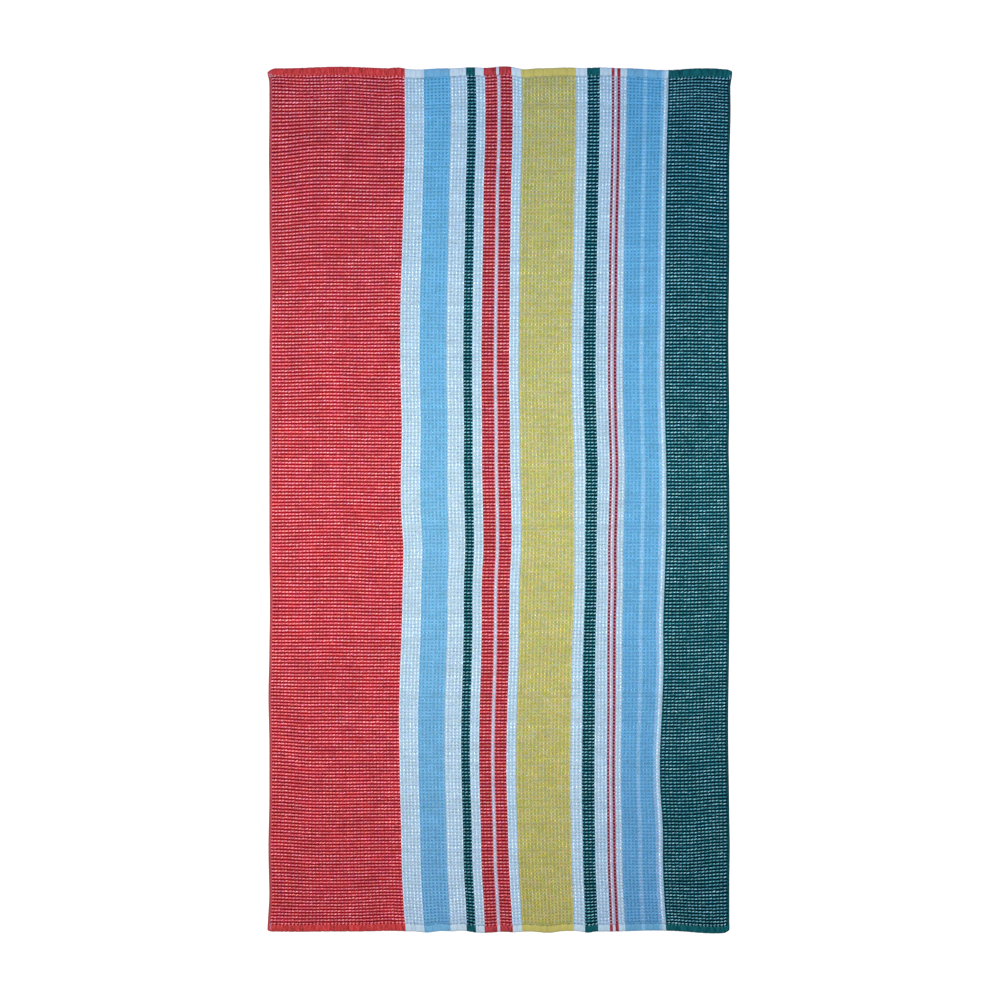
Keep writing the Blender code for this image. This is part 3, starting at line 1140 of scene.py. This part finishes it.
def make_threads():
    """The pale ends of sewing thread at three corners."""
    places = np.array([(thread.across_mm * MM, thread.from_end_mm * MM) for thread in THREADS])
    far = np.array([thread.far for thread in THREADS])
    places[:, 1] = np.where(far, TOWEL_LENGTH - places[:, 1], places[:, 1])
    even = np.ones(len(THREADS))
    lengths = np.array([thread.length_mm for thread in THREADS]) * MM
    floats = Floats(places, lengths, THREAD_WIDTH * even, THREAD_SLANT * even, even, 0 * even)
    return spindles("sewing_thread_ends", floats, THREAD_HEIGHTS, True, sewing_thread())


# ---------------- studio

FLOOR_DROP = 0.0004
FLOOR_SIZE = 16.0
CAMERA_HEIGHT = 3.8207
CAMERA_X = 0.00035
CAMERA_Y = -0.0002
LENS_MM = 70.0
VIEW_DEPTH = 100.0
STRIP_LIGHT_SIZE = (3.8, 0.7)
STRIP_LIGHT_HEIGHT = 1.4
STRIP_LIGHT_WATTS = 43.4
STRIP_LIGHT_COLOUR = (1.0, 0.986, 0.889)
COOL_LIGHT_SIZE = (2.0, 0.6)
COOL_LIGHT_PLACE = (0.0, 1.9, 1.0)
COOL_LIGHT_AIM_Y = 0.85
COOL_LIGHT_TILT = math.atan2(COOL_LIGHT_PLACE[1] - COOL_LIGHT_AIM_Y, COOL_LIGHT_PLACE[2])
COOL_LIGHT_WATTS = 5.3
COOL_LIGHT_COLOUR = (0.12, 0.30, 1.0)
AMBIENT = (0.875, 0.875, 1.0, 1.0)
AMBIENT_STRENGTH = 0.512
FLOOR_GLOW = 0.78
FLOOR_GREY = 0.4


def make_floor():
    """A plain white floor that the towel lies on."""
    bpy.ops.mesh.primitive_plane_add(size=FLOOR_SIZE, location=(0.0, 0.0, -FLOOR_DROP))
    floor = bpy.context.object
    floor.name = "studio_floor"
    paper = Finish("white_paper", PAPER_ROUGHNESS)
    paper.shader.inputs["Base Color"].default_value = (FLOOR_GREY, FLOOR_GREY, FLOOR_GREY, 1.0)
    paper.shader.inputs["Emission Color"].default_value = (1.0, 1.0, 1.0, 1.0)
    paper.shader.inputs["Emission Strength"].default_value = FLOOR_GLOW
    floor.data.materials.append(paper.material)


def add_soft_light(name, size, place, tilt, watts, colour):
    """A soft light box, turned about X from pointing straight down."""
    box = bpy.data.lights.new(name, "AREA")
    box.shape = "RECTANGLE"
    box.size, box.size_y = size
    box.energy = watts
    box.color = colour
    lamp = bpy.data.objects.new(name, box)
    lamp.location = place
    lamp.rotation_euler = (tilt, 0.0, 0.0)
    lamp.visible_camera = False
    bpy.context.scene.collection.objects.link(lamp)


def make_lights():
    """A long soft strip over the middle, a cool one past the far end, and light all round."""
    strip = (STRIP_LIGHT_SIZE, (0.0, 0.0, STRIP_LIGHT_HEIGHT), 0.0)
    add_soft_light("strip_light", *strip, STRIP_LIGHT_WATTS, STRIP_LIGHT_COLOUR)
    cool = (COOL_LIGHT_SIZE, COOL_LIGHT_PLACE, -COOL_LIGHT_TILT)
    add_soft_light("cool_light", *cool, COOL_LIGHT_WATTS, COOL_LIGHT_COLOUR)
    world = bpy.data.worlds.new("studio")
    world.use_nodes = True
    background = world.node_tree.nodes["Background"]
    background.inputs["Color"].default_value = AMBIENT
    background.inputs["Strength"].default_value = AMBIENT_STRENGTH
    bpy.context.scene.world = world


def make_camera():
    """Straight down from above the middle, as the photo was taken."""
    camera = bpy.data.cameras.new("camera")
    camera.lens = LENS_MM
    camera.clip_end = VIEW_DEPTH
    eye = bpy.data.objects.new("camera", camera)
    eye.location = (CAMERA_X, CAMERA_Y, CAMERA_HEIGHT)
    bpy.context.scene.collection.objects.link(eye)
    bpy.context.scene.camera = eye


# ---------------- the towel


def make_towel():
    """All pieces of the towel."""
    yarns = {yarn.name: yarn for yarn in YARNS}
    hems = {
        name: hem_cloth("hem_" + name, yarn.hem, DARK_GRAIN if name in DARK_YARNS else PALE_GRAIN)
        for name, yarn in yarns.items()
    }
    selvedges = {
        name: hem_cloth("selvedge_" + name, seen, SELVEDGE_GRAIN)
        for name, seen in SELVEDGE_COLOURS.items()
    }
    grounds = {name: woven_ground(yarn) for name, yarn in yarns.items()}
    ground = make_ground(grounds, selvedges)
    chance = np.random.default_rng(ROW_SEED)
    weft_tones = chance.normal(1.0, WEFT_ROW_SPREAD, ROWS)
    warp_tones = chance.normal(1.0, WARP_ROW_SPREAD, ROWS)
    others = []
    for yarn in YARNS:
        for weft, row_tones in ((True, weft_tones), (False, warp_tones)):
            if len(columns_of_yarn(yarn.name, weft)[0]):
                others.append(make_floats(yarn, weft, row_tones))
                others += [make_seam(end, yarn, weft) for end in (NEAR, FAR)]
    others += [make_hem(end, hems) for end in (NEAR, FAR)]
    others.append(make_threads())
    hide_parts("towel")


make_towel()
make_floor()
make_lights()
make_camera()
bpy.context.scene.view_settings.view_transform = "Standard"

bpy.context.view_layer.update()
